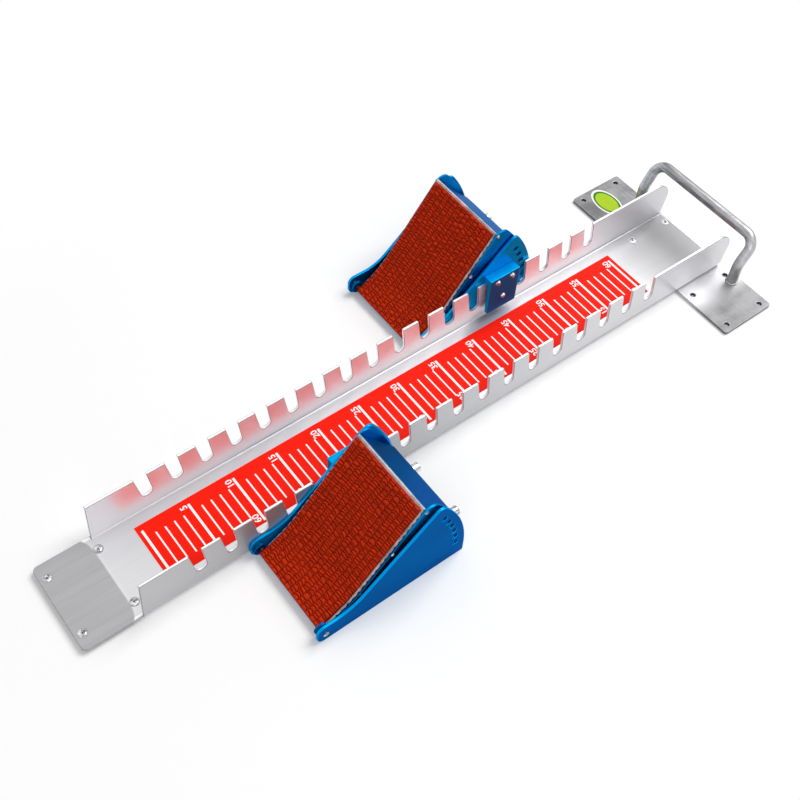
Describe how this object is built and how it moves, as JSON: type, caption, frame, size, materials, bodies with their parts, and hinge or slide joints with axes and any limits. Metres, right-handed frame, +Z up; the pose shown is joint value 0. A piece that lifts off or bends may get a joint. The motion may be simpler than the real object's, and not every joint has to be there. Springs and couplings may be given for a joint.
{
  "type": "track starting blocks",
  "caption": "Notched channel rail with a distance scale, two hook-in foot pedals with tilting rubber pads, a rear anchor plate and a bent carrying handle.",
  "frame": {"origin": "on the ground, under the middle of the whole object", "axes": "+Z up, +Y rearwards along the rail (towards the carrying handle), +X across the rail to the runner's left as they face the front"},
  "size_m": [0.3244, 0.8216, 0.1177],
  "materials": {
    "rail_aluminium": "satin, brushed along the rail",
    "handle_aluminium": "satin with drawing marks",
    "blue_anodised": "satin anodised",
    "navy_anodised": "satin anodised",
    "screw_steel": "bright zinc",
    "pin_steel": "turned",
    "red_rubber": "coarse moulded bumps",
    "mat_backing": "matte",
    "label_red": "printed film",
    "sticker_green": "printed film"
  },
  "bodies": {
    "rail": {"rail_channel": "rail_aluminium", "cross_plate": "rail_aluminium", "carry_handle": "handle_aluminium", "scale_label": "label_red", "plate_sticker": "sticker_green", "front_screws": "screw_steel", "front_nuts": "screw_steel", "rear_screws": "screw_steel"},
    "left_pedal": {"left_outer_plate": "blue_anodised", "left_inner_plate": "blue_anodised", "left_base_plate": "blue_anodised", "left_hook_plate": "navy_anodised", "left_hook_block": "navy_anodised", "left_clamp_screws": "screw_steel", "left_toe_rivets": "screw_steel"},
    "left_pad": {"left_pad_shell": "blue_anodised", "left_cheek_outer": "blue_anodised", "left_cheek_inner": "blue_anodised", "left_backing_sheet": "mat_backing", "left_rubber_pad": "red_rubber", "left_frame_screws": "screw_steel", "left_pin_tube": "screw_steel", "left_lock_spring": "screw_steel"},
    "left_pin_outer": {"left_pin_outer": "pin_steel", "left_stud_outer": "pin_steel"},
    "left_pin_inner": {"left_pin_inner": "pin_steel", "left_stud_inner": "pin_steel"},
    "right_pedal": {"right_outer_plate": "blue_anodised", "right_inner_plate": "blue_anodised", "right_base_plate": "blue_anodised", "right_hook_plate": "navy_anodised", "right_hook_block": "navy_anodised", "right_clamp_screws": "screw_steel", "right_toe_rivets": "screw_steel"},
    "right_pad": {"right_pad_shell": "blue_anodised", "right_cheek_outer": "blue_anodised", "right_cheek_inner": "blue_anodised", "right_backing_sheet": "mat_backing", "right_rubber_pad": "red_rubber", "right_frame_screws": "screw_steel", "right_pin_tube": "screw_steel", "right_lock_spring": "screw_steel"},
    "right_pin_outer": {"right_pin_outer": "pin_steel", "right_stud_outer": "pin_steel"},
    "right_pin_inner": {"right_pin_inner": "pin_steel", "right_stud_inner": "pin_steel"}
  },
  "joints": [
    {"name": "left_pedal_lift", "type": "slide", "parent": "rail", "child": "left_pedal", "axis": [0, -0.1345, 0.9909], "range_m": [0, 0.045]},
    {"name": "left_pad_tilt", "type": "hinge", "parent": "left_pedal", "child": "left_pad", "pos_m": [0.106, -0.2311, 0.0115], "axis": [1, 0, 0], "range_deg": [0, 24.5]},
    {"name": "left_pin_outer_slide", "type": "slide", "parent": "left_pad", "child": "left_pin_outer", "axis": [1, 0, 0], "range_m": [0, 0.0036]},
    {"name": "left_pin_inner_slide", "type": "slide", "parent": "left_pad", "child": "left_pin_inner", "axis": [-1, 0, 0], "range_m": [0, 0.0036]},
    {"name": "right_pedal_lift", "type": "slide", "parent": "rail", "child": "right_pedal", "axis": [0, -0.1345, 0.9909], "range_m": [0, 0.045]},
    {"name": "right_pad_tilt", "type": "hinge", "parent": "right_pedal", "child": "right_pad", "pos_m": [-0.106, 0.0329, 0.0115], "axis": [1, 0, 0], "range_deg": [-4.9, 19.6]},
    {"name": "right_pin_outer_slide", "type": "slide", "parent": "right_pad", "child": "right_pin_outer", "axis": [-1, 0, 0], "range_m": [0, 0.0036]},
    {"name": "right_pin_inner_slide", "type": "slide", "parent": "right_pad", "child": "right_pin_inner", "axis": [1, 0, 0], "range_m": [0, 0.0036]}
  ],
  "couplings": [
    {"joint": "left_pin_inner_slide", "follows": "left_pin_outer_slide", "ratio": 1},
    {"joint": "right_pin_inner_slide", "follows": "right_pin_outer_slide", "ratio": 1}
  ]
}
